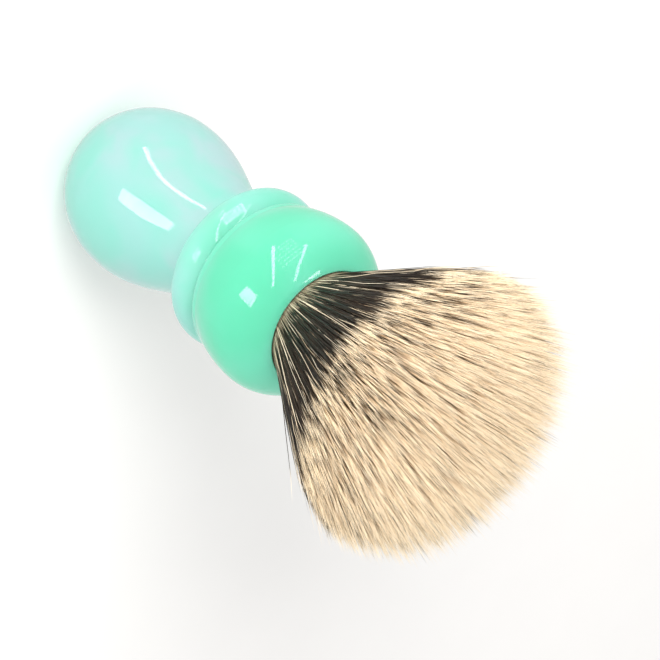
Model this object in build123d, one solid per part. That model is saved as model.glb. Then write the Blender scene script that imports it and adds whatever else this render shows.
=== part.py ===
from build123d import *
import os
from math import asin, cos, sin, sqrt

# Shaving brush: a resin handle turned in one piece, with a tied badger-hair knot glued
# into a blind socket in its head. The brush stands on its base: the origin is the middle
# of the base, +Z runs up the axis towards the hair tips, and every length is in millimetres.

os.makedirs("parts", exist_ok=True)

# Handle: rounded bulb, waist, collar ring, groove, domed head
HANDLE_H = 76.0
BULB_R = 18.1
BULB_Z = 17.5
BULB_DEPTH = 20.0
BASE_EDGE = 0.8
WAIST_R = 11.6
WAIST_Z = 46.5
COVE_R = 1.2
COLLAR_R = 17.4
COLLAR_DEPTH = 8.3
COLLAR_Z = 50.6
COLLAR_REAR_Z = 48.4
COLLAR_EDGE_R = 1.4
GROOVE_Z = 55.1
GROOVE_H = 0.9
HEAD_R = 18.75
HEAD_Z = 65.8
HEAD_FRONT_DEPTH = 13.7
HEAD_REAR_DEPTH = 21.5
SHOULDER_Z = 57.6
SHOULDER_EDGE_R = 1.5
MOUTH_EDGE_R = 0.2
ARC_STEPS = 6

# Socket, adhesive bed and the moulded plug at the foot of the knot
SOCKET_R = 12.2
SOCKET_DEPTH = 13.0
GLUE_FLOOR = 0.6
PLUG_R = 11.8
PLUG_H = 7.4
PLUG_EDGE = 0.5
DOME_R = 8.0
DOME_H = 2.6

# Binding thread: turns laid side by side round the hair just above the plug
THREAD_D = 0.7
THREAD_TURNS = 4
THREAD_BITE = 0.9

# Hair: the bundle leaves the socket at KNOT_R, flares to a fan and ends in a dome
KNOT_R = 11.9
LOFT = 48.4
FAN_SIDE_Z = 32.3
FAN_SIDE_R = 28.55
FAN_SIDE_BULGE = 0.9
SHOULDER_REACH = 10.8
DOME_REACH = 14.2
BEND_ZONE_H = 6.0
BEND_GAP = 0.3
DARK_BAND_TOP = 28.0

MOUTH_Z = HANDLE_H
SOCKET_FLOOR_Z = MOUTH_Z - SOCKET_DEPTH
PLUG_FOOT_Z = SOCKET_FLOOR_Z + GLUE_FLOOR
PLUG_TOP_Z = PLUG_FOOT_Z + PLUG_H
THREAD_Z = PLUG_TOP_Z + THREAD_D


def solid_of_revolution(outline):
    """Turn a closed outline in the (radius, height) half plane about the brush's axis."""
    return revolve(Plane.XZ * make_face(outline), Axis.Z, 360)


def rect_ring(inner_r, outer_r, low_z, high_z):
    """A plain ring or disc, given by its radii and its lower and upper faces."""
    corners = [(inner_r, low_z), (outer_r, low_z), (outer_r, high_z), (inner_r, high_z)]
    return solid_of_revolution(Polyline(*corners, close=True))


def ellipse_r(height, crest_r, crest_z, depth):
    """Radius of an elliptical bead at a height, from its crest and its depth along the axis."""
    return crest_r * sqrt(1 - ((height - crest_z) / depth) ** 2)


def bead_arc(crest_r, crest_z, depth, low_z, high_z):
    """The elliptical outline of a bead between two heights, as one smooth curve."""
    low = asin((low_z - crest_z) / depth)
    high = asin((high_z - crest_z) / depth)
    angles = [low + (high - low) * step / ARC_STEPS for step in range(ARC_STEPS + 1)]
    points = [(crest_r * cos(angle), crest_z + depth * sin(angle)) for angle in angles]
    ends = [(-crest_r * sin(angle), depth * cos(angle)) for angle in (low, high)]
    return Spline(*points, tangents=ends)


def handle_blank():
    """The turned outside of the handle, with its edges still sharp and no socket."""
    base_r = ellipse_r(0, BULB_R, BULB_Z, BULB_DEPTH)
    shoulder_r = ellipse_r(SHOULDER_Z, HEAD_R, HEAD_Z, HEAD_REAR_DEPTH)
    mouth_rim_r = ellipse_r(MOUTH_Z, HEAD_R, HEAD_Z, HEAD_FRONT_DEPTH)
    underside = bead_arc(BULB_R, BULB_Z, BULB_DEPTH, 0, BULB_Z)
    neck = Spline((BULB_R, BULB_Z), (WAIST_R, WAIST_Z), tangents=[(0, 1), (0, 1)])
    collar = bead_arc(COLLAR_R, COLLAR_Z, COLLAR_DEPTH, COLLAR_REAR_Z, GROOVE_Z)
    land = Polyline((WAIST_R, WAIST_Z), (WAIST_R, COLLAR_REAR_Z), collar @ 0)
    groove = Polyline(collar @ 1, (shoulder_r, GROOVE_Z + GROOVE_H), (shoulder_r, SHOULDER_Z))
    head_rear = bead_arc(HEAD_R, HEAD_Z, HEAD_REAR_DEPTH, SHOULDER_Z, HEAD_Z)
    head_front = bead_arc(HEAD_R, HEAD_Z, HEAD_FRONT_DEPTH, HEAD_Z, MOUTH_Z)
    ends = Polyline((mouth_rim_r, MOUTH_Z), (0, MOUTH_Z), (0, 0), (base_r, 0))
    return solid_of_revolution([underside, neck, land, collar, groove, head_rear, head_front, ends])


def circles_at(solid, radius, height, slack=0.02):
    """The circular edges of a turned solid at one radius and height."""
    found = []
    for edge in solid.edges().filter_by(GeomType.CIRCLE):
        if abs(edge.radius - radius) < slack and abs(edge.arc_center.Z - height) < slack:
            found.append(edge)
    return found


def handle():
    """The finished handle: edges softened by polishing, and the blind socket bored."""
    body = handle_blank()
    base_r = ellipse_r(0, BULB_R, BULB_Z, BULB_DEPTH)
    shoulder_r = ellipse_r(SHOULDER_Z, HEAD_R, HEAD_Z, HEAD_REAR_DEPTH)
    body = fillet(circles_at(body, base_r, 0), BASE_EDGE)
    collar_rear_r = ellipse_r(COLLAR_REAR_Z, COLLAR_R, COLLAR_Z, COLLAR_DEPTH)
    body = fillet(circles_at(body, collar_rear_r, COLLAR_REAR_Z), COLLAR_EDGE_R)
    body = fillet(circles_at(body, WAIST_R, COLLAR_REAR_Z), COVE_R)
    body = fillet(circles_at(body, shoulder_r, GROOVE_Z + GROOVE_H), SHOULDER_EDGE_R)
    body -= rect_ring(0, SOCKET_R, SOCKET_FLOOR_Z, MOUTH_Z + 1)
    return fillet(circles_at(body, SOCKET_R, MOUTH_Z), MOUTH_EDGE_R)


def adhesive_bed():
    """The set adhesive: a floor under the plug and a thin wall round it."""
    floor = rect_ring(0, SOCKET_R, SOCKET_FLOOR_Z, PLUG_FOOT_Z)
    wall = rect_ring(PLUG_R, SOCKET_R, PLUG_FOOT_Z, PLUG_TOP_Z)
    return floor + wall


def plug_dome():
    """The low dome that the plug's resin makes where it has risen into the hair."""
    ball_r = (DOME_R**2 + DOME_H**2) / (2 * DOME_H)
    ball = Pos(0, 0, PLUG_TOP_Z + DOME_H - ball_r) * Sphere(ball_r)
    return ball & rect_ring(0, PLUG_R, PLUG_FOOT_Z + PLUG_EDGE, PLUG_TOP_Z + DOME_H)


def knot_plug():
    """The moulded resin plug that holds the hair's root ends."""
    disc = rect_ring(0, PLUG_R, PLUG_FOOT_Z, PLUG_TOP_Z)
    disc = chamfer(circles_at(disc, PLUG_R, PLUG_FOOT_Z), PLUG_EDGE)
    return disc + plug_dome()


def thread_centres():
    """Height of each turn of the binding thread."""
    return [THREAD_Z + turn * THREAD_D for turn in range(THREAD_TURNS)]


def binding_thread():
    """The turns of thread tied round the bundle, each a closed ring touching the next."""
    ring_r = KNOT_R - THREAD_BITE + THREAD_D / 2
    section = Circle(THREAD_D / 2)
    turns = []
    for height in thread_centres():
        turns.append(revolve(Plane.XZ * Pos(ring_r, height) * section, Axis.Z, 360))
    return Compound(children=turns)


def hair_roots():
    """The hair inside the socket, nipped in under the binding thread."""
    nip_r = KNOT_R - THREAD_BITE
    nip_low = THREAD_Z - THREAD_D / 2
    nip_high = thread_centres()[-1] + THREAD_D / 2
    side = Polyline(
        (0, MOUTH_Z),
        (0, PLUG_TOP_Z),
        (nip_r, PLUG_TOP_Z),
        (nip_r, nip_high),
        (KNOT_R, nip_high + THREAD_BITE),
        (KNOT_R, MOUTH_Z),
        close=True,
    )
    return solid_of_revolution(side) - plug_dome()


def fan():
    """The whole hair fan above the mouth: a gently bowed flare that rounds into a dome."""
    side_end = (FAN_SIDE_R, MOUTH_Z + FAN_SIDE_Z)
    middle = ((KNOT_R + FAN_SIDE_R) / 2 + FAN_SIDE_BULGE, MOUTH_Z + FAN_SIDE_Z / 2)
    flare = Bezier((KNOT_R, MOUTH_Z), middle, side_end)
    out = (flare % 1) * SHOULDER_REACH
    top = (0, MOUTH_Z + LOFT)
    dome = Bezier(side_end, Vector(*side_end) + out, (DOME_REACH, MOUTH_Z + LOFT), top)
    return solid_of_revolution([flare, dome, Polyline(top, (0, MOUTH_Z), (KNOT_R, MOUTH_Z))])


def fan_slice(low, high):
    """The part of the fan between two heights above the mouth."""
    return fan() & rect_ring(0, FAN_SIDE_R + SHOULDER_REACH, MOUTH_Z + low, MOUTH_Z + high)


PIECES = {
    "handle": handle(),
    "adhesive_bed": adhesive_bed(),
    "knot_plug": knot_plug(),
    "binding_thread": binding_thread(),
    "hair_roots": hair_roots(),
    "hair_bend_zone": fan_slice(0, BEND_ZONE_H - BEND_GAP),
    "hair_dark_band": fan_slice(BEND_ZONE_H, DARK_BAND_TOP),
    "hair_cream_tips": fan_slice(DARK_BAND_TOP, LOFT),
}

for name, piece in PIECES.items():
    export_step(piece, f"parts/{name}.step")
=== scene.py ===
# %% [markdown]
# # A badger-hair shaving brush
# The brush stands on its base: the origin is the middle of the base, and +Z runs up the axis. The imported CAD
# model is loaded first and never moved. It gives the rigid pieces and the places that all else is made from.

# %% Load the frame
import math

import bmesh
import bpy
import numpy as np
from mathutils import Matrix, Vector


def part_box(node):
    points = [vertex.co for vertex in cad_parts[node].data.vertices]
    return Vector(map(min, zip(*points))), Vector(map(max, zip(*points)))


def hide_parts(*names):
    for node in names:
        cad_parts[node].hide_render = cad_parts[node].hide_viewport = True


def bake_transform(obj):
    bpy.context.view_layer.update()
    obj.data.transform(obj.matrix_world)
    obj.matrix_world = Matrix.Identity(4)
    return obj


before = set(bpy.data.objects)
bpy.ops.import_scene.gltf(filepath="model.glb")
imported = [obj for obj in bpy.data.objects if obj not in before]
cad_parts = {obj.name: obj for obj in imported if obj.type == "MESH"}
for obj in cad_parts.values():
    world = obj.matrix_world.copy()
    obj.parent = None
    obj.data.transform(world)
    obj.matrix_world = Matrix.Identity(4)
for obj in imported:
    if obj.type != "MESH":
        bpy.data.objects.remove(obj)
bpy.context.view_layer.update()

# %% [markdown]
# ## Places
# A hair knot is described by two radii and three heights: where it leaves the mouth, where its flank ends, and
# where its dome ends. They are read from the frame, so the hair always fits the solids that stand in for it.

# %% Places read from the frame
MM = 0.001
mouth_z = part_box("handle")[1].z
plug_top_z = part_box("hair_roots")[0].z
mouth_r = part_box("hair_roots")[1].x
fan_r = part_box("hair_cream_tips")[1].x
tip_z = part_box("hair_cream_tips")[1].z
loft = tip_z - mouth_z
print(f"mouth radius {mouth_r / MM:.1f} mm, fan radius {fan_r / MM:.1f} mm, loft {loft / MM:.1f} mm")

# %% [markdown]
# ## Shader maths as Python
# A material's pattern is arithmetic on values. This wrapper lets it be written as arithmetic: each operator
# adds its Math node. Every other node comes from one method, which takes its type, settings and inputs.

# %% A wire and a paint tree
class Wire:
    """One output socket. Arithmetic on it adds Math nodes to its paint."""

    def __init__(self, paint, socket):
        self.paint = paint
        self.socket = socket

    def __add__(self, other):
        return self.paint.math("ADD", self, other)

    def __mul__(self, other):
        return self.paint.math("MULTIPLY", self, other)

    def __sub__(self, other):
        return self.paint.math("SUBTRACT", self, other)

    def __rsub__(self, other):
        return self.paint.math("SUBTRACT", other, self)

    def __truediv__(self, other):
        return self.paint.math("DIVIDE", self, other)

    __radd__ = __add__
    __rmul__ = __mul__


class Paint:
    """A material with one Principled shader and the nodes that feed it."""

    def __init__(self, name, **constants):
        self.material = bpy.data.materials.new(name)
        self.material.use_nodes = True
        self.tree = self.material.node_tree
        self.shader = self.tree.nodes["Principled BSDF"]
        for socket, value in constants.items():
            self.shader.inputs[socket.replace("_", " ")].default_value = value

    def connect(self, socket, value):
        if isinstance(value, Wire):
            self.tree.links.new(value.socket, socket)
        else:
            socket.default_value = value

    def node(self, kind, settings=(), inputs=(), out=0):
        node = self.tree.nodes.new(kind)
        for key, value in dict(settings).items():
            setattr(node, key, value)
        for key, value in dict(inputs).items():
            self.connect(node.inputs[key], value)
        return Wire(self, node.outputs[out])

    def math(self, operation, *values):
        return self.node("ShaderNodeMath", {"operation": operation}, dict(enumerate(values)))

    def place(self, scale=(1, 1, 1), turn=(0, 0, 0)):
        """Object coordinates, stretched and turned."""
        spot = self.node("ShaderNodeTexCoord", out="Object")
        return self.node("ShaderNodeMapping", {}, {"Vector": spot, "Scale": scale, "Rotation": turn})

    def noise(self, spot, scale, detail=3.0, rough=0.5, warp=0.0):
        sizes = {"Vector": spot, "Scale": scale, "Detail": detail, "Roughness": rough, "Distortion": warp}
        return self.node("ShaderNodeTexNoise", {}, sizes)

    def step(self, value, low, high):
        """0 below low, 1 above high, and smooth between."""
        ends = {"Value": value, "From Min": low, "From Max": high}
        return self.node("ShaderNodeMapRange", {"interpolation_type": "SMOOTHSTEP"}, ends)

    def mix(self, amount, under, over):
        """A colour from under to over by amount."""
        ends = {0: amount, 6: under, 7: over}
        return self.node("ShaderNodeMix", {"data_type": "RGBA"}, ends, out=2)

    def attribute(self, name):
        return self.node("ShaderNodeAttribute", {"attribute_name": name}, out="Fac")

    def bump(self, height, strength, distance):
        ends = {"Height": height, "Strength": strength, "Distance": distance}
        return self.node("ShaderNodeBump", {}, ends)

    def finish(self, **sockets):
        for socket, value in sockets.items():
            self.connect(self.shader.inputs[socket.replace("_", " ")], value)
        return self.material


def rgb(red, green, blue):
    return (red, green, blue, 1.0)


# %% [markdown]
# ## Handle resin
# The handle is one block of cast resin. Pearl, aqua, lavender and mint were poured together, so the bulb is
# cloudy and the head is nearly plain mint. Warped noise makes clouds that look poured, light scatters inside,
# and a faint roughness change keeps the polish from looking like plastic film.

# %% Handle resin
def handle_resin():
    paint = Paint(
        "handle_resin",
        IOR=1.5,
        Subsurface_Weight=0.55,
        Subsurface_Scale=0.006,
        Subsurface_Radius=(1.0, 1.0, 1.0),
    )
    spot = paint.place()
    height = paint.node("ShaderNodeSeparateXYZ", {}, {"Vector": spot}, out="Z")
    clouds = paint.noise(paint.place(turn=(0.4, 0.2, 0.0)), 46.0, 1.0, 0.4, 0.4)
    veins = paint.noise(paint.place(scale=(1, 1, 0.7), turn=(0.3, 0.9, 0.5)), 66.0, 1.5, 0.45, 0.6)
    wisps = paint.noise(paint.place(turn=(1.1, 0.1, 0.7)), 90.0, 2.0, 0.45, 0.6)
    pale = paint.mix(paint.step(clouds, 0.34, 0.68), rgb(0.25, 0.61, 0.53), rgb(0.31, 0.59, 0.56))
    pale = paint.mix(paint.step(veins, 0.46, 0.74) * 0.6, pale, rgb(0.43, 0.54, 0.58))
    pale = paint.mix(paint.step(wisps, 0.48, 0.76) * 0.5, pale, rgb(0.21, 0.63, 0.51))
    mint = paint.mix(paint.step(clouds, 0.35, 0.65), rgb(0.11, 0.60, 0.385), rgb(0.145, 0.64, 0.44))
    reach = height + (veins - 0.5) * 0.02
    colour = paint.mix(paint.step(reach, mouth_z * 0.60, mouth_z * 0.82), pale, mint)
    polish = 0.045 + paint.noise(spot, 160.0, 2.0) * 0.02
    return paint.finish(Base_Color=colour, Roughness=polish)


def dress(node, material):
    """Give a CAD piece its finish. Its mesh isn't touched."""
    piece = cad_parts[node]
    piece.data.materials.clear()
    piece.data.materials.append(material)
    return piece


dress("handle", handle_resin())
print("handle faces:", len(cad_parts["handle"].data.polygons))

# %% [markdown]
# ## Adhesive, plug and thread
# These sit inside the socket and show only when the brush is cut open or taken apart. They still get their own
# finishes: clear set adhesive, amber moulding resin with hair ends in it, and waxed thread with a twist.

# %% Hidden pieces of the knot
def adhesive_finish():
    paint = Paint("clear_adhesive", IOR=1.5, Transmission_Weight=0.5)
    cloud = paint.noise(paint.place(), 400.0, 3.0)
    colour = paint.mix(cloud, rgb(0.80, 0.74, 0.55), rgb(0.88, 0.84, 0.70))
    return paint.finish(Base_Color=colour, Roughness=0.12 + cloud * 0.2)


def plug_finish():
    paint = Paint("plug_resin", IOR=1.5)
    ends = paint.noise(paint.place(), 2600.0, 2.0)
    colour = paint.mix(paint.step(ends, 0.52, 0.6), rgb(0.50, 0.34, 0.16), rgb(0.20, 0.13, 0.07))
    return paint.finish(Base_Color=colour, Roughness=0.35 + ends * 0.2, Normal=paint.bump(ends, 0.3, 0.0002))


def thread_finish():
    paint = Paint("thread", IOR=1.45)
    twist = paint.node(
        "ShaderNodeTexWave",
        {"wave_type": "BANDS", "bands_direction": "DIAGONAL"},
        {"Vector": paint.place(), "Scale": 900.0, "Distortion": 1.5},
        out="Fac",
    )
    colour = paint.mix(twist, rgb(0.45, 0.38, 0.28), rgb(0.72, 0.66, 0.54))
    relief = paint.bump(twist, 0.6, 0.0001)
    return paint.finish(Base_Color=colour, Roughness=0.7 + twist * 0.1, Normal=relief)


dress("adhesive_bed", adhesive_finish())
dress("knot_plug", plug_finish())
dress("binding_thread", thread_finish())
print("finishes so far:", sorted(material.name for material in bpy.data.materials))

# %% [markdown]
# ## Where each hair starts and ends
# A knot is packed in a mould, tips down, so its tips lie on a dome and its roots fill a disc. A hair that starts
# near the rim ends near the dome's edge. Spreading the tips evenly over the dome's area keeps it equally dense.

# %% The fan's outline
FLANK_END = (0.976 * fan_r, 0.667 * loft)
FLANK_BULGE = 0.9 * MM
SHOULDER_REACH = 10.8 * MM
DOME_REACH = 14.2 * MM


def bezier(points, steps):
    """Points along a curve of any degree, by repeated halving between control points."""
    points = [np.array(p, float) for p in points]
    line = []
    for t in np.linspace(0, 1, steps):
        layer = points
        while len(layer) > 1:
            layer = [a + (b - a) * t for a, b in zip(layer, layer[1:])]
        line.append(layer[0])
    return np.array(line)


flank_middle = ((mouth_r + FLANK_END[0]) / 2 + FLANK_BULGE, FLANK_END[1] / 2)
lean = np.array(FLANK_END) - np.array(flank_middle)
lean /= np.linalg.norm(lean)
flank = bezier([(mouth_r, 0), flank_middle, FLANK_END], 25)
dome = bezier([FLANK_END, np.array(FLANK_END) + lean * SHOULDER_REACH, (DOME_REACH, loft), (0, loft)], 121)

crown_first = dome[::-1]
span = np.linalg.norm(np.diff(crown_first, axis=0), axis=1)
middle_r = (crown_first[1:, 0] + crown_first[:-1, 0]) / 2
area = np.concatenate([[0], np.cumsum(span * middle_r)])
area /= area[-1]
print(f"dome from {FLANK_END[0] / MM:.1f} mm radius, {FLANK_END[1] / MM:.1f} mm up, to {loft / MM:.1f} mm")

# %% [markdown]
# ## Hairs, locks and tufts
# Every hair gets a tip on the dome. Nearby hairs share a lock, and nearby locks share a tuft. The spots follow a
# sunflower spiral with a little disorder, which spaces them evenly without rows.

# %% Draw the hairs
HAIRS = 26000
LOCKS = 7000
TUFTS = 800
SEED = 7
dice = np.random.default_rng(SEED)


def on_dome(share):
    """Radius and height on the dome for a share of its area, counted from the crown."""
    return np.interp(share, area, crown_first[:, 0]), np.interp(share, area, crown_first[:, 1])


def scatter(count):
    """Even random spots: a share of the dome's area, and an angle round the axis."""
    order = (np.arange(count) + dice.uniform(0, 1, count)) / count
    golden = math.pi * (3 - math.sqrt(5))
    turn = np.arange(count) * golden + dice.normal(0, 0.02, count)
    return order, turn


def flat(radius, turn):
    return np.stack([radius * np.cos(turn), radius * np.sin(turn)], axis=1)


lock_share, lock_turn = scatter(LOCKS)
lock_r, lock_z = on_dome(lock_share)
lock_xy = flat(lock_r, lock_turn) + dice.normal(0, 0.25 * MM, (LOCKS, 2))
hair_share, hair_turn = scatter(HAIRS)
tip_r, tip_h = on_dome(hair_share)
tip_xy = flat(tip_r, hair_turn) + dice.normal(0, 0.3 * MM, (HAIRS, 2))


def nearest(points, centres, batch=2000):
    """For each point, the number of its nearest centre."""
    chosen = []
    for start in range(0, len(points), batch):
        gap = points[start:start + batch, None, :] - centres[None, :, :]
        chosen.append((gap**2).sum(axis=2).argmin(axis=1))
    return np.concatenate(chosen)


lock_of = nearest(tip_xy, lock_xy)
tuft_share, tuft_turn = scatter(TUFTS)
tuft_xy = flat(on_dome(tuft_share)[0], tuft_turn) + dice.normal(0, 0.5 * MM, (TUFTS, 2))
tuft_of = nearest(lock_xy, tuft_xy)
print("hairs:", HAIRS, "in locks:", len(np.unique(lock_of)), "in tufts:", len(np.unique(tuft_of)))

# %% [markdown]
# ## The path of one hair
# Each hair rises straight from the plug, leaves the mouth and bends outwards to its tip. Hairs of one lock lean
# together towards their lock's tip, because slight grease and static hold real hairs in pointed locks. Locks
# differ in length, and the gaps over the short ones show the dark hair deeper down.

# %% Paths
RINGS = 7
PULL = 0.84
TUFT_PULL = 0.16
lock_length = dice.normal(0, 0.6 * MM, LOCKS) + dice.normal(0, 0.45 * MM, TUFTS)[tuft_of]
short_lock = dice.uniform(0, 1, LOCKS) < 0.13
lock_length[short_lock] -= dice.uniform(1.5, 6.0, short_lock.sum()) * MM
lock_sway = (tuft_xy[tuft_of] - lock_xy) * TUFT_PULL + dice.normal(0, 0.30 * MM, (LOCKS, 2))
hair_length = np.clip(dice.normal(0, 0.7 * MM, HAIRS), -2.5 * MM, 1.2 * MM)
stray = dice.uniform(0, 1, HAIRS) < 0.07

root_share = np.sqrt(np.clip(hair_share + dice.normal(0, 0.01, HAIRS), 0, 1))
root_xy = flat(root_share * (mouth_r - 0.25 * MM), hair_turn)
nip = (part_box("binding_thread")[1].x - 1.4 * MM) / mouth_r

pull = np.where(stray, 0.1, PULL + dice.normal(0, 0.12, HAIRS))[:, None]
end_xy = tip_xy + (lock_xy[lock_of] - tip_xy) * pull + lock_sway[lock_of]
end_xy += dice.normal(0, 0.20 * MM, (HAIRS, 2)) + stray[:, None] * dice.normal(0, 1.3 * MM, (HAIRS, 2))
end_h = tip_h + (lock_z[lock_of] - tip_h) * pull[:, 0]
start = np.column_stack([root_xy, np.full(HAIRS, -0.6 * MM)])
end = np.column_stack([end_xy, end_h])
reach = end - start
unit = reach / np.linalg.norm(reach, axis=1, keepdims=True)
end += unit * (lock_length[lock_of] + hair_length)[:, None]
knee = (start + end) / 2
outward = root_xy / mouth_r
knee[:, :2] += outward * FLANK_BULGE + (tip_xy - end_xy) * 0.35
wave = dice.normal(0, 0.22 * MM, (HAIRS, 3))


def path_point(t):
    """A point on every hair, from the mouth at t = 0 to the tip at t = 1."""
    point = start * (1 - t) ** 2 + knee * (2 * t * (1 - t)) + end * t**2
    return point + wave * math.sin(3 * math.pi * t) * t


along = np.linspace(0, 1, RINGS)
paths = [np.column_stack([root_xy * nip, np.full(HAIRS, plug_top_z - mouth_z)])]
paths += [path_point(t) for t in along]
paths = np.stack(paths, axis=1)
paths[:, :, 2] += mouth_z
steps = np.linalg.norm(np.diff(paths, axis=1), axis=2)
distance = np.concatenate([np.zeros((HAIRS, 1)), np.cumsum(steps, axis=1)], axis=1) - steps[:, :1]
print(f"longest hair {distance.max() / MM:.1f} mm beyond the mouth")

# %% [markdown]
# ## One strand, many times
# A single strand is built once with bmesh: a three-sided ring is extruded along, and the last ring is merged to
# a point. Its few faces are then reused for every hair, and only the places of its vertices are worked out.

# %% The strand that is repeated
SIDES = 3


def strand():
    """Faces of one strand whose rings are numbered from root to tip."""
    mesh = bmesh.new()
    bmesh.ops.create_circle(mesh, segments=SIDES, radius=1.0)
    ring = list(mesh.edges)
    for _ in range(RINGS - 1):
        made = bmesh.ops.extrude_edge_only(mesh, edges=ring)["geom"]
        moved = [part for part in made if isinstance(part, bmesh.types.BMVert)]
        bmesh.ops.translate(mesh, verts=moved, vec=(0, 0, 1))
        ring = [part for part in made if isinstance(part, bmesh.types.BMEdge)]
    made = bmesh.ops.extrude_edge_only(mesh, edges=ring)["geom"]
    moved = [part for part in made if isinstance(part, bmesh.types.BMVert)]
    bmesh.ops.translate(mesh, verts=moved, vec=(0, 0, 1))
    bmesh.ops.pointmerge(mesh, verts=moved, merge_co=(0, 0, RINGS))
    bmesh.ops.contextual_create(mesh, geom=[edge for edge in mesh.edges if edge.is_boundary])
    bmesh.ops.recalc_face_normals(mesh, faces=mesh.faces)
    mesh.verts.ensure_lookup_table()
    mesh.verts.index_update()
    points = np.array([vert.co for vert in mesh.verts])
    faces = [[vert.index for vert in face.verts] for face in mesh.faces]
    mesh.free()
    return points, faces


strand_points, strand_faces = strand()
ring_of = np.rint(strand_points[:, 2]).astype(int)
print("strand:", len(strand_points), "vertices,", len(strand_faces), "faces")

# %% [markdown]
# ## Hair in sectors
# All hairs in one mesh would be too heavy to handle, so the knot is built as ten sectors, like slices of a cake.
# Each vertex keeps how far along its hair it is and a painted shade that darkens the cream deep inside the knot,
# where shadow falls, and each hair keeps its own random shade and band edge.

# %% Build the hair pieces
SECTORS = 10
ROOT_RADIUS = 0.085 * MM
TIP_RADIUS = 0.025 * MM
BAND_EDGE = 34.0 * MM
HAIR_SPREAD = 1.6 * MM
LOCK_SPREAD = 3.0 * MM
TUFT_SPREAD = 2.6 * MM
ALL_PALE = 0.085
LONG_DARK = 0.96
PAINTED_SHADE_STARTS = 2.0 * MM
PAINTED_SHADE_RANGE = 8.5 * MM


def cross_axes(path):
    """Two directions square to each hair at each ring."""
    ahead = np.gradient(path, axis=1)
    ahead /= np.linalg.norm(ahead, axis=2, keepdims=True)
    side = np.cross(ahead, np.array([0.31, 0.17, 0.93]))
    side /= np.linalg.norm(side, axis=2, keepdims=True)
    return side, np.cross(ahead, side)


side_axis, other_axis = cross_axes(paths)
thickness = np.interp(np.arange(RINGS + 1), [0, RINGS * 0.6, RINGS], [1.0, 0.9, 0.0])
thickness = TIP_RADIUS + (ROOT_RADIUS - TIP_RADIUS) * thickness
shade = dice.uniform(0, 1, HAIRS)
lock_shade = dice.uniform(0, 1, LOCKS)[lock_of]
band_edge = BAND_EDGE + dice.normal(0, HAIR_SPREAD, HAIRS) + dice.normal(0, LOCK_SPREAD, LOCKS)[lock_of]
band_edge += dice.normal(0, TUFT_SPREAD, TUFTS)[tuft_of][lock_of]
dark_lock = dice.uniform(0, 1, LOCKS) < 0.11
band_edge += (dark_lock * dice.uniform(4 * MM, 13 * MM, LOCKS))[lock_of]
kind = dice.uniform(0, 1, HAIRS)
band_edge[kind < ALL_PALE] = -10 * MM
band_edge[kind > LONG_DARK] += dice.uniform(4, 14, (kind > LONG_DARK).sum()) * MM
root_edge = dice.gamma(2.2, 2.2 * MM, HAIRS)
# Painted shade: the cream darkens the farther a point lies below its hair's tip, as if in the knot's shadow, but not
# on the outer flank.
to_tip = distance[:, -1:] - distance
inside = np.clip((0.985 - root_share) / 0.08, 0, 1)[:, None]
painted_shade = np.clip((to_tip - PAINTED_SHADE_STARTS) / PAINTED_SHADE_RANGE, 0, 1) * inside


def point_values(mesh, name, values):
    layer = mesh.attributes.new(name, "FLOAT", "POINT")
    layer.data.foreach_set("value", values.astype(np.float32).ravel())


def hair_piece(name, members):
    """One mesh with the strand laid along the paths of these hairs."""
    ring = ring_of[None, :]
    across = strand_points[None, :, 0:1] * side_axis[members][:, ring_of]
    across += strand_points[None, :, 1:2] * other_axis[members][:, ring_of]
    points = paths[members][:, ring_of] + across * thickness[ring_of][None, :, None]
    count = len(strand_points)
    faces = []
    for hair in range(len(members)):
        faces += [[corner + hair * count for corner in face] for face in strand_faces]
    mesh = bpy.data.meshes.new(name)
    mesh.from_pydata(points.reshape(-1, 3), [], faces)
    mesh.shade_smooth()
    each = np.ones((1, count))
    point_values(mesh, "along", distance[members][:, ring_of])
    point_values(mesh, "painted_shade", painted_shade[members][:, ring_of])
    point_values(mesh, "shade", shade[members][:, None] * each)
    point_values(mesh, "lock_shade", lock_shade[members][:, None] * each)
    point_values(mesh, "band_edge", band_edge[members][:, None] * each)
    point_values(mesh, "root_edge", root_edge[members][:, None] * each)
    piece = bpy.data.objects.new(name, mesh)
    bpy.context.scene.collection.objects.link(piece)
    return piece


sector_of = (np.floor(np.mod(hair_turn, 2 * math.pi) / (2 * math.pi) * SECTORS)).astype(int) % SECTORS
hair_pieces = [
    hair_piece(f"hair_sector_{number + 1}", np.flatnonzero(sector_of == number))
    for number in range(SECTORS)
]
print("faces in each sector:", [len(piece.data.polygons) for piece in hair_pieces])

# %% [markdown]
# ## Hair colours
# Badger hair has a pale root, a dark band and a cream tip. The band's edge differs from hair to hair, so the
# border looks feathered. A few hairs are pale all along, and a few stay dark nearly to their tips.

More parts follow.
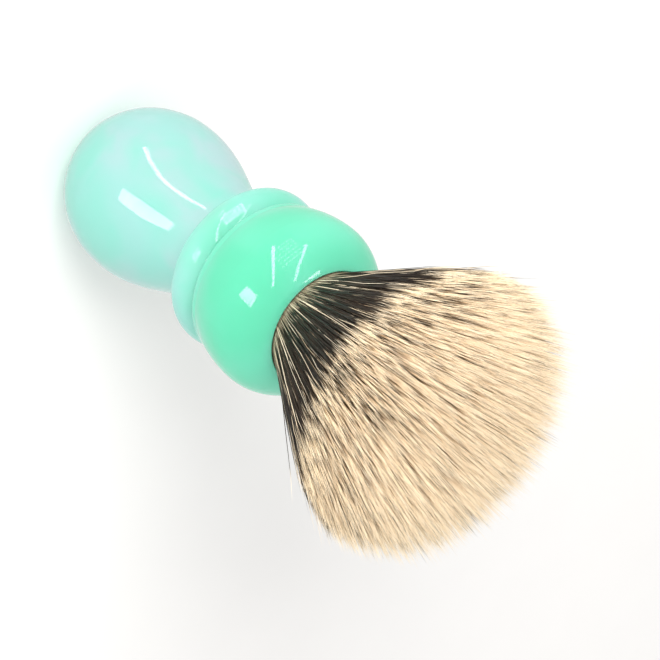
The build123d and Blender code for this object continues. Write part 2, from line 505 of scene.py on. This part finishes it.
# %% Hair finish
def hair_finish():
    paint = Paint("two_band_badger", IOR=1.5, Specular_IOR_Level=0.35)
    along = paint.attribute("along")
    own = paint.attribute("shade")
    lock = paint.attribute("lock_shade")
    edge = paint.attribute("band_edge")
    past = (along - edge) / (3.5 * MM)
    dark = 1 - paint.step(past, -0.5, 0.5)
    root = paint.step((along - paint.attribute("root_edge")) / (2.5 * MM), -0.5, 0.5)
    brown = paint.mix(own, rgb(0.012, 0.008, 0.006), rgb(0.055, 0.034, 0.02))
    tan = paint.mix(own, rgb(0.30, 0.24, 0.15), rgb(0.60, 0.51, 0.37))
    cream = paint.mix(own, rgb(0.96, 0.78, 0.53), rgb(1.0, 0.91, 0.73))
    cream = paint.mix(lock * 0.3, cream, rgb(0.92, 0.72, 0.47))
    # Painted shade: cream turns brown deep inside the knot, as if the hairs shaded each other.
    cream = paint.mix(paint.attribute("painted_shade") * 0.85, cream, rgb(0.38, 0.22, 0.11))
    colour = paint.mix(root, tan, brown)
    colour = paint.mix(1 - dark, colour, cream)
    return paint.finish(Base_Color=colour, Roughness=0.42 + own * 0.2)


badger = hair_finish()
for piece in hair_pieces:
    piece.data.materials.append(badger)
    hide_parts("hair_roots", "hair_bend_zone", "hair_dark_band", "hair_cream_tips")
    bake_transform(piece)
print("hair pieces dressed:", len(hair_pieces), "with", badger.name)

# %% [markdown]
# ## Camera
# The camera looks down at the mouth of the handle from one side and is rolled, so the standing brush lies across
# the picture with its hair towards the lower right.

# %% Camera
CAMERA_DISTANCE = Vector((0.366355, 0.0, 0.318036))
AIM_SHIFT = Vector((0.0, -0.000516, 0.001325))
ROLL = math.radians(127.904)
mouth = Vector((0, 0, mouth_z))
eye = mouth + CAMERA_DISTANCE
forward = (mouth + AIM_SHIFT - eye).normalized()
level = forward.cross(Vector((0, 0, 1))).normalized()
upright = level.cross(forward)
right = level * math.cos(ROLL) + upright * math.sin(ROLL)
up = upright * math.cos(ROLL) - level * math.sin(ROLL)
view = Matrix((right, up, -forward)).transposed()

camera_data = bpy.data.cameras.new("camera")
camera_data.lens = 138.57
camera_data.sensor_width = 36
camera_data.clip_start = 0.01
camera = bpy.data.objects.new("camera", camera_data)
camera.matrix_world = Matrix.Translation(eye) @ view.to_4x4()
bpy.context.scene.collection.objects.link(camera)
bpy.context.scene.camera = camera
print("camera at", [round(c, 3) for c in eye])

# %% [markdown]
# ## Floor
# A large pale floor stands in for a table. It has a faint grain, and it isn't mirrored in the polished resin,
# because a real table would lie beside the brush and not under its base.

# %% Floor
floor_mesh = bpy.data.meshes.new("floor")
sheet = bmesh.new()
bmesh.ops.create_grid(sheet, x_segments=1, y_segments=1, size=4.0)
sheet.to_mesh(floor_mesh)
sheet.free()
floor = bpy.data.objects.new("floor", floor_mesh)
bpy.context.scene.collection.objects.link(floor)


def floor_finish():
    paint = Paint("pale_table", Specular_IOR_Level=0.2)
    grain = paint.noise(paint.place(), 60.0, 2.0)
    colour = paint.mix(grain, rgb(0.90, 0.895, 0.89), rgb(0.92, 0.915, 0.91))
    return paint.finish(Base_Color=colour, Roughness=0.75 + grain * 0.1)


floor_mesh.materials.append(floor_finish())
floor.visible_glossy = False
print("floor finish:", floor.data.materials[0].name)

# %% [markdown]
# ## Lights
# A broad key panel and a bright even surround light everything. Window reflections make a polished curve
# readable. Each window is a curved bank of small gridded lamps that all face one spot of the handle, so it shows
# mostly there and only faintly elsewhere. One fill lights the hair alone, and a gridded one lifts the bulb.

# %% Lights
def panel(name, middle, target, long_side, width, height, strength, grid=180, colour=(1, 1, 1)):
    """A rectangular lamp that faces a target, with its height along long_side. A grid narrows its beam."""
    lamp = bpy.data.lights.new(name, "AREA")
    lamp.shape = "RECTANGLE"
    lamp.size = width
    lamp.size_y = height
    lamp.color = colour
    lamp.spread = math.radians(grid)
    half = math.radians(grid) / 2
    lamp.energy = strength * width * height * math.pi
    if grid < 180:
        lamp.energy *= math.tan(half) ** 2
    facing = (middle - target).normalized()
    across = long_side.cross(facing).normalized()
    place = Matrix((across, facing.cross(across), facing)).transposed().to_4x4()
    shown = bpy.data.objects.new(name, lamp)
    shown.matrix_world = Matrix.Translation(middle) @ place
    shown.visible_camera = False
    bpy.context.scene.collection.objects.link(shown)
    return shown


head = mouth - Vector((0, 0, 10 * MM))


def toward(x, y, w):
    """A direction given as right, up and towards the camera."""
    return (right * x + up * y - forward * w).normalized()


def on_handle(height, turn):
    """A place on the handle and its face's direction, from a height in millimetres and a turn in degrees."""
    angle = math.radians(turn)
    outward = Vector((math.cos(angle), math.sin(angle), 0))
    start = outward * OUTSIDE + Vector((0, 0, height * MM))
    place, face_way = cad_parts["handle"].ray_cast(start, -outward)[1:3]
    return place, face_way


def mirrored(height, turn):
    """The direction that the camera sees reflected at a place on the handle, evened out over nearby faces."""
    normal = Vector()
    for rise in (-NEARBY_RISE, 0, NEARBY_RISE):
        for swing in (-NEARBY_TURN, 0, NEARBY_TURN):
            normal += on_handle(height + rise, turn + swing)[1]
    look = (on_handle(height, turn)[0] - eye).normalized()
    return look.reflect(normal.normalized())


def bank(name, spot, corners, rows, columns=1, strength=5, grid=10, reach=0.3):
    """A curved wall of small gridded lamps that face one spot, given by its height and turn on the handle.

    Corners are directions: the first two are one end of the wall, and the last two, in the same order, the other.
    """
    target = on_handle(*spot)[0]
    first, second, third, fourth = corners
    arc = first.lerp(second, 0.5).angle(third.lerp(fourth, 0.5))
    height = arc * reach / rows * OVERLAP
    for row in range(rows):
        share = (row + 0.5) / rows
        left_end = first.slerp(third, share)
        right_end = second.slerp(fourth, share)
        for column in range(columns):
            one = target + left_end.slerp(right_end, column / columns) * reach
            two = target + left_end.slerp(right_end, (column + 1) / columns) * reach
            label = f"{name}_{row + 1}_{column + 1}"
            length = (two - one).length
            lamp = panel(label, (one + two) / 2, target, two - one, height, length, strength, grid)
            lamp.visible_diffuse = False


OUTSIDE = 0.05
NEARBY_RISE = 0.15
NEARBY_TURN = 0.5
OVERLAP = 1.05

# Three narrow windows in the head
ends = [toward(-0.24, 0.885, 0.40), toward(-0.17, 0.90, 0.40), toward(0.01, 0.02, 1), toward(0.06, 0.02, 1)]
bank("strip_1", (70.5, -14.0), ends, rows=16)
ends = [toward(0.41, 0.80, 0.42), toward(0.48, 0.775, 0.42), toward(0.41, 0.08, 0.91), toward(0.455, 0.08, 0.89)]
bank("strip_2", (73.0, -28.2), ends, rows=11, strength=4)
ends = [toward(0.80, 0.22, 0.55), toward(0.83, 0.16, 0.55), toward(0.565, -0.025, 0.82), toward(0.595, -0.065, 0.80)]
bank("strip_3", (75.5, -27.4), ends, rows=6, strength=4)

# Square windows in the head and the collar, worked out from where their corners show
ends = [mirrored(69.3, 15.7), mirrored(69.9, 8.4), mirrored(72.2, 18.7), mirrored(72.1, 9.3)]
bank("window", (70.8, 12.8), ends, rows=5, columns=5, grid=9)
ends = [mirrored(52.0, -15.6), mirrored(52.0, -32.9), mirrored(53.6, -14.6), mirrored(53.5, -33.0)]
bank("collar_window", (52.9, -23.6), ends, rows=6, columns=6, strength=4, grid=7.5, reach=0.2)

# A narrow window and a wide one, bent by the curve from the bulb to the neck
ends = [toward(-0.31, 0.93, 0.20), toward(-0.25, 0.945, 0.21), toward(-0.30, 0.70, 0.645), toward(-0.235, 0.73, 0.64)]
bank("bulb_strip", (31.8, -16.3), ends, rows=7)
ends = [toward(-0.66, 0.21, 0.72), toward(-0.81, -0.08, 0.58), toward(-0.80, 0.32, 0.51), toward(-0.885, 0.10, 0.45)]
bank("bulb_window", (33.4, 13.7), ends, rows=4, columns=5, strength=4, grid=9, reach=0.25)

key_way = toward(0.13, 0.27, 0.95)
key = panel("key", head + key_way * 0.9, head, up, 0.4, 0.4, 12.5, colour=(1.0, 0.985, 0.96))
key.visible_glossy = False
knot = Vector((0, 0, 105 * MM))
fill_way = toward(0.25, 0.05, 0.97)
fill = panel("knot_fill", knot + fill_way * 0.6, knot, up, 0.16, 0.16, 42.0, colour=(1.0, 0.97, 0.93))
fill.visible_glossy = False
hair_only = bpy.data.collections.new("hair_only")
for piece in hair_pieces:
    hair_only.objects.link(piece)
fill.light_linking.receiver_collection = hair_only
bulb = Vector((0, 0, 25 * MM))
glow_way = toward(-0.45, -0.75, 0.45)
GLOW_TINT = (0.80, 1.0, 0.92)
glow = panel("bulb_fill", bulb + glow_way * 0.45, bulb, up, 0.16, 0.16, 3.0, grid=30, colour=GLOW_TINT)
glow.visible_glossy = False

SURROUND = rgb(1.0, 0.99, 0.98)
world = bpy.data.worlds.new("surround")
world.use_nodes = True
world.node_tree.nodes["Background"].inputs["Color"].default_value = SURROUND
world.node_tree.nodes["Background"].inputs["Strength"].default_value = 0.86
bpy.context.scene.world = world
bpy.context.scene.view_settings.view_transform = "Standard"
